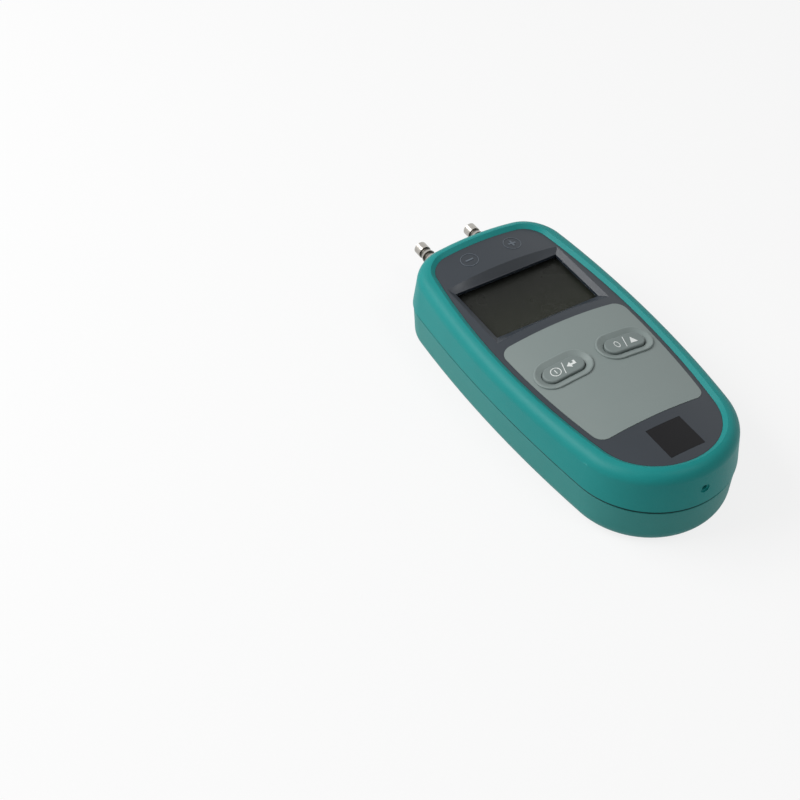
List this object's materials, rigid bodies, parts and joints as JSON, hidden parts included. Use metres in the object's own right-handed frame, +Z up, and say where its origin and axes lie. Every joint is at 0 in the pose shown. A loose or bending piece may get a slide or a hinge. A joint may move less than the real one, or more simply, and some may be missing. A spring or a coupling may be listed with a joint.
{
  "type": "differential manometer",
  "caption": "Handheld digital differential manometer with a display, push keys and barbed hose nozzles for low and high gas pressure.",
  "frame": {"origin": "under the middle of the whole length, on the surface that the case lies on", "axes": "+X across the case to the high-pressure side, +Y along the case towards the nozzles, +Z up from the rear of the case to the face"},
  "size_m": [0.0824, 0.193, 0.0408],
  "materials": {
    "case": "satin teal moulded plastic with a fine texture",
    "face": "dark grey moulded plastic, satin",
    "panel": "mid grey, satin",
    "key": "mid grey elastomer keys, printed in white",
    "label": "black, semi-gloss",
    "lens": "clear, polished",
    "display": "dark olive liquid crystal, not lit",
    "holder": "white moulded plastic",
    "elastomer": "soft striped elastomer",
    "board": "green solder mask",
    "chip": "black moulding compound",
    "switch": "black moulded plastic",
    "nickel": "nickel plated, turned",
    "washer": "black rubber",
    "tube": "translucent silicone",
    "cell": "plain dark sleeve with bare ends",
    "contact": "plated spring strip",
    "screw": "zinc plated"
  },
  "bodies": {
    "case": {"front_shell": "case", "rear_shell": "case", "face_plate": "face", "keypad_panel": "panel", "label_plate": "label", "window_lens": "lens", "lcd_glass": "display", "lcd_holder": "holder", "contact_strips": "elastomer", "main_board": "board", "board_screws": "screw", "switch_housings": "switch", "controller": "chip", "sounder": "switch", "pressure_sensor": "chip", "low_nozzle": "nickel", "high_nozzle": "nickel", "nozzle_washers": "washer", "low_tube": "tube", "high_tube": "tube", "battery_cells": "cell", "terminal_contacts": "contact", "bridge_contact": "contact", "battery_cover": "case", "cover_screw": "screw", "case_screws": "screw"},
    "power_key": {"power_button": "key", "power_plunger": "switch"},
    "zero_key": {"zero_button": "key", "zero_plunger": "switch"}
  },
  "joints": [
    {"name": "power_key_press", "type": "slide", "parent": "case", "child": "power_key", "axis": [0, 0, 1], "range_m": [-0.0006, 0], "stiffness_N_per_m": 1500, "springref_m": 0.0005},
    {"name": "zero_key_press", "type": "slide", "parent": "case", "child": "zero_key", "axis": [0, 0, 1], "range_m": [-0.0006, 0], "stiffness_N_per_m": 1500, "springref_m": 0.0005}
  ]
}
